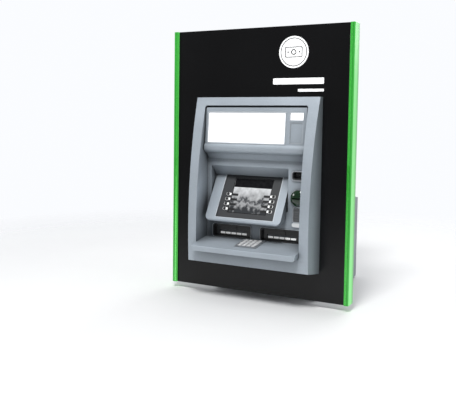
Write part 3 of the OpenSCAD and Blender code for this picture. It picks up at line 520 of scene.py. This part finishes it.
def surround_details():
    """The strips' bright inner bands, a painted highlight, with their dark lines, and the emblem."""
    tall = SHEET_HIGH.z - SHEET_LOW.z
    for side, label in ((-1, "left"), (1, "right")):
        place = on_front(side * STRIP_X, -11, 0)
        # Painted highlight: a lit band down each strip's front.
        slabs("strip_highlight_band_" + label, [(round_outline(11, tall / MM - 8, 1), -0.5, 0, 0, 0)], place,
              "painted_highlight_green", bevel=0.15)
        slabs("strip_line_" + label, [(round_outline(2, tall / MM - 8, 0.5), -0.5, 0, side * 7.2, 0)],
              place, "lens_line", bevel=0.1)
    place = on_front(0, -1.2, 0)
    # The emblem's disc and bars carry the emblem finish's painted glow.
    slabs("emblem_disc", [(disc(78, 16), 0, 1.1, EMBLEM_X, EMBLEM_Z)], place, "emblem")
    bm = bmesh.new()
    for outer, inner in ((disc(70, 16), disc(66, 16)),
                         (round_outline(92, 52, 6, 8), round_outline(84, 44, 3, 8)),
                         (disc(14), disc(9))):
        add_ring(bm, outer, inner, 1.0, 1.5, EMBLEM_X, EMBLEM_Z)
    for x in (-30, 30):
        add_slab(bm, disc(4), 1.0, 1.5, EMBLEM_X + x, EMBLEM_Z)
    piece("emblem_drawing", bm, on_front(0, -1.3, 0), "emblem_dark", bevel=0.1)
    bars = [(round_outline(268, 30, 4), 0, 1.1, 214, 404), (round_outline(134, 13, 3), 0, 1.1, 281, 359)]
    slabs("emblem_bars", bars, place, "emblem")


def header_details():
    """Frames round the lit sign, the small window and the pad below it."""
    ring("sign_frame", 443, 163.5, 5, 5.6, -0.6, 1.6, on_hood(SIGN_X, SIGN_Z),
         "fascia_light", bevel=0.6)
    ring("window_frame", 76, 43, 4, 4, -0.6, 1.4, on_hood(WINDOW_X, WINDOW_Z),
         "fascia_light", bevel=0.5)
    ring("pad_edge", 67, 102, 3, 2.2, -3, -1.2, on_hood(WINDOW_X, PAD_Z),
         "fascia_light", bevel=0.3)


def screen_details():
    """The picture and its edge, the pads, bars and rims of the menu keys, and the bezel's lip."""
    slabs("screen_picture", [(round_outline(214.6, 192.6, 1), 0, 1.4, 0, 0)],
          on_screen(SCREEN_X, SCREEN_V, PICTURE_DEPTH), "picture", bevel=0.2)
    ring("screen_edge", 221, 199, 3, 2.8, -0.3, 0.7, on_screen(SCREEN_X, SCREEN_V, MASK_DEPTH),
         "mouth", bevel=0.2)
    pads, bars, rings = bmesh.new(), bmesh.new(), bmesh.new()
    for side in (-1, 1):
        for i in range(4):
            x, v = side * 129, -103 - i * 27.5
            add_ring(pads, round_outline(20, 17, 8, 6), disc(6.6, 6), -0.2, 0.7, x, v)
            add_slab(pads, round_outline(9, 12, 1.5), -0.2, 0.7, side * 115.5, v)
            add_slab(bars, round_outline(34, 12.5, 1.5), -0.2, 0.9, side * 90, v)
            add_ring(rings, disc(8.4, 8), disc(6.4, 8), 0.6, 1.3, x, v)
    place = on_screen(SCREEN_X, 0, MASK_DEPTH)
    # The menu pads carry painted glow.
    piece("menu_pads", pads, place, "legend_white_painted_glow", bevel=0.15)
    piece("menu_bars", bars, on_screen(SCREEN_X, 0, GLASS_DEPTH), "emblem_dark", bevel=0.15)
    piece("menu_rims", rings, place, "menu_key", bevel=0.2)
    ring("bezel_lip", 331, 259, 5, 4, -1.5, 0.6, on_screen(BEZEL_X, BEZEL_V, 0),
         "fascia_light", bevel=0.8)


def column_details():
    """Rims of the receipt mouth, the card bezel and the guide, and the oval lamp in its rim."""
    place = on_front(COLUMN_X, COLUMN_Y, RECEIPT_Z)
    ring("receipt_rim", 84, 52, 18, 4.5, -0.4, 2.2, place, "rim", bevel=0.8)
    slabs("receipt_flap", [(round_outline(62, 11, 3), -22, -20, 0, 7)], place, "mouth")
    bm = bmesh.new()
    add_ring(bm, disc(45, 16), disc(41.6, 16), -0.4, 2.4)
    piece("card_rim", bm, on_front(COLUMN_X, COLUMN_Y, CARD_Z), "rim", bevel=0.9)
    ring("guide_edge", 64, 75, 3, 3, -0.4, 1.2, on_front(GUIDE_X, COLUMN_Y, GUIDE_Z),
         "rim", bevel=0.4)
    place = on_front(LAMP_X, -10, LAMP_Z)
    slabs("oval_lamp", [(round_outline(62, 20, 10, 10), -0.3, 2.2, 0, 0)], place,
          "lamp_oval", bevel=0.9)
    ring("oval_rim", 67, 25, 12.5, 2.6, -0.3, 2.8, place, "rim", bevel=0.6)


def mouth_details():
    """Each note mouth's rim and grip, and the row of white segments on its shutter."""
    arch = [(-22, 0), (22, 0), (22, 14), (17, 22), (8, 26), (-8, 26), (-17, 22), (-22, 14)]
    for label, x in (("cash", -MOUTH_X), ("deposit", MOUTH_X)):
        ring(label + "_rim", 229, 72.5, 15, 2.2, -0.3, 3, on_front(x, -10.3, MOUTH_Z),
             "fascia_light", bevel=0.6)
        bm = bmesh.new()
        for i in range(5):
            add_slab(bm, round_outline(27.5, 9.5, 2, 4), -0.05, 0.35, x + (i - 2) * 31.6, 0)
        # The shutter segments carry painted glow so that they stand out.
        piece(label + "_segments", bm, on_front(0, 12.5, SHUTTER_Z), "legend_white_painted_glow",
              label + "_shutter", bevel=0.1)
        slabs(label + "_grip", [(arch, 0, 3.2, x, 0)], on_front(0, 6, -364), "mouth", bevel=0.8)


def keypad_details():
    """The keypad's border and each key's raised rim, with a mark inside it."""
    ring("pad_border", 120, 120.5, 5, 4, 1.7, 3, on_shelf(0, 0, 0), "rim", bevel=0.5)
    for row in range(4):
        for col in range(4):
            name = "key_%d%d" % (row + 1, col + 1)
            place = on_shelf((col - 1.5) * KEY_PITCH, (1.5 - row) * KEY_PITCH, KEY_TOP)
            w, h = 17.2, 16.2
            bm = bmesh.new()
            add_ring(bm, round_outline(w, h, 3, 5), round_outline(w - 3, h - 3, 2, 5), -0.3, 0.7)
            if col < 3:
                add_slab(bm, disc(1.4, 4), -0.2, 0.35, 0, 0)
            else:
                add_slab(bm, round_outline(7, 1.6, 0.8, 4), -0.2, 0.4, 0, 0)
            piece(name + "_dish", bm, place, "key_face", name, bevel=0.2)


def screws(name, places, size=4.0, body="housing"):
    """Round-headed screws; each hexagon socket is a dark hexagon laid on the head, painted shade where the
    hole would be. Each place is a matrix.
    """
    heads, sockets = bmesh.new(), bmesh.new()
    base = places[0].inverted()
    for place in places:
        part, hole = bmesh.new(), bmesh.new()
        outer, inner = disc(size, 4), disc(size * 0.72, 4)
        low = [part.verts.new((x * MM, y * MM, -0.0003)) for x, y in outer]
        mid = [part.verts.new((x * MM, y * MM, size * 0.3 * MM)) for x, y in outer]
        top = [part.verts.new((x * MM, y * MM, size * 0.5 * MM)) for x, y in inner]
        part.faces.new(low[::-1])
        part.faces.new(top)
        for a, b in ((low, mid), (mid, top)):
            for i in range(len(a)):
                j = (i + 1) % len(a)
                part.faces.new((a[i], a[j], b[j], b[i]))
        # Painted shade: the socket is a dark hexagon on the head, not a hole.
        turns = [math.radians(60 * k) for k in range(6)]
        hexagon = [(size * 0.45 * math.cos(a), size * 0.45 * math.sin(a)) for a in turns]
        add_slab(hole, hexagon, size * 0.45, size * 0.54)
        for source, target in ((part, heads), (hole, sockets)):
            source.transform(base @ place)
            mesh = bpy.data.meshes.new("part")
            source.to_mesh(mesh)
            source.free()
            target.from_mesh(mesh)
            bpy.data.meshes.remove(mesh)
    piece(name, heads, places[0], "screw", body, bevel=0.2)
    piece(name + "_sockets", sockets, places[0], "screw_socket", body, bevel=0)


def cabinet_door_details():
    """Screws, a blank rating plate with four bars, and the latch's rose."""
    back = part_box("cabinet_door")[1].y / MM
    body = "cabinet_door"
    screws("door_screws", [on_rear(x, back, z) for x in (-270, 270) for z in (520, 700, 930, 1110)], 5, body)
    plate = on_rear(0, back, 830)
    # The rating plate carries the emblem finish's painted glow.
    slabs("door_plate", [(round_outline(110, 60, 4), 0, 1.0, 0, 0)], plate, "emblem", body)
    bars = [(round_outline(w, 5, 1), 0.9, 1.3, (w - 84) / 2, 16 - 11 * i)
            for i, w in enumerate((84, 60, 72, 40))]
    slabs("door_plate_bars", bars, plate, "screw_socket", body, bevel=0.1)
    ring("latch_rose", 42, 42, 21, 5, -0.2, 2, on_rear(LATCH_X, back, LATCH_Z),
         "latch", body, bevel=0.6)


def safe_door_details():
    """The dial's marks, the roses of dial and handle, a bead round the door and a blank plate."""
    body = "safe_door"
    dial = on_rear(DIAL_X, SAFE_DOOR_Y, SAFE_DOOR_Z)
    bm = bmesh.new()
    for i in range(50):
        a = math.radians(i * 7.2)
        r1, r2 = (39, 46) if i % 5 == 0 else (39, 43)
        side = Vector((-math.sin(a), math.cos(a))) * 0.45
        out = Vector((math.cos(a), math.sin(a)))
        mark = (out * r1 - side, out * r2 - side, out * r2 + side, out * r1 + side)
        add_slab(bm, [tuple(corner) for corner in mark], -0.1, 0.5)
    # The dial marks carry painted glow.
    piece("dial_marks", bm, dial, "legend_white_painted_glow", body, bevel=0)
    ring("dial_rose", 104, 104, 52, 4, -0.2, 1.4, dial, "rim", body, bevel=0.5)
    ring("handle_rose", 54, 54, 27, 7, -0.2, 0.4, on_rear(HANDLE_X, SAFE_DOOR_Y, SAFE_DOOR_Z),
         "rim", body, bevel=0.15)
    ring("safe_door_bead", 540, 430, 12, 5, -0.2, 1.2, on_rear(0, SAFE_DOOR_Y, SAFE_DOOR_Z),
         "safe", body, bevel=0.6)
    slabs("safe_plate", [(round_outline(90, 44, 4), -0.1, 0.8, 0, 0)], on_rear(-190, SAFE_DOOR_Y, 400),
          "screw", body)


def cabinet_details():
    """Screws and vents on the cabinet's sides, and its lid with six screws."""
    for side, label in ((-1, "left"), (1, "right")):
        edge = side * CABINET_SIDE_X
        places = [on_side(edge, y, z, side) for y in (-330, -150, 30, 200) for z in (500, 1130)]
        screws("cabinet_screws_" + label, places, 4)
        # Painted shade: the vents are dark raised slots standing for openings, which are not cut.
        vents = [(round_outline(90, 5, 2.5, 5), -0.1, 1.2, 0, i * 14) for i in range(10)]
        slabs("cabinet_vents_" + label, vents, on_side(edge, CABINET_MIDDLE_Y, 930, side),
              "computer", bevel=0.3)
    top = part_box("cabinet")[1].z / MM
    slabs("cabinet_lid", [(round_outline(520, 520, 14), -0.2, 1.2, 0, 0)], on_top(0, CABINET_MIDDLE_Y, top),
          "cabinet", bevel=0.6)
    places = [on_top(x, y, top + 1.2) for x in (-235, 235) for y in (-295, CABINET_MIDDLE_Y, 175)]
    screws("lid_screws", places, 4)


place_camera()
MATERIALS = make_materials()
studio()
dress_nodes(MATERIALS)
surround_details()
header_details()
screen_details()
column_details()
mouth_details()
keypad_details()
cabinet_door_details()
safe_door_details()
cabinet_details()
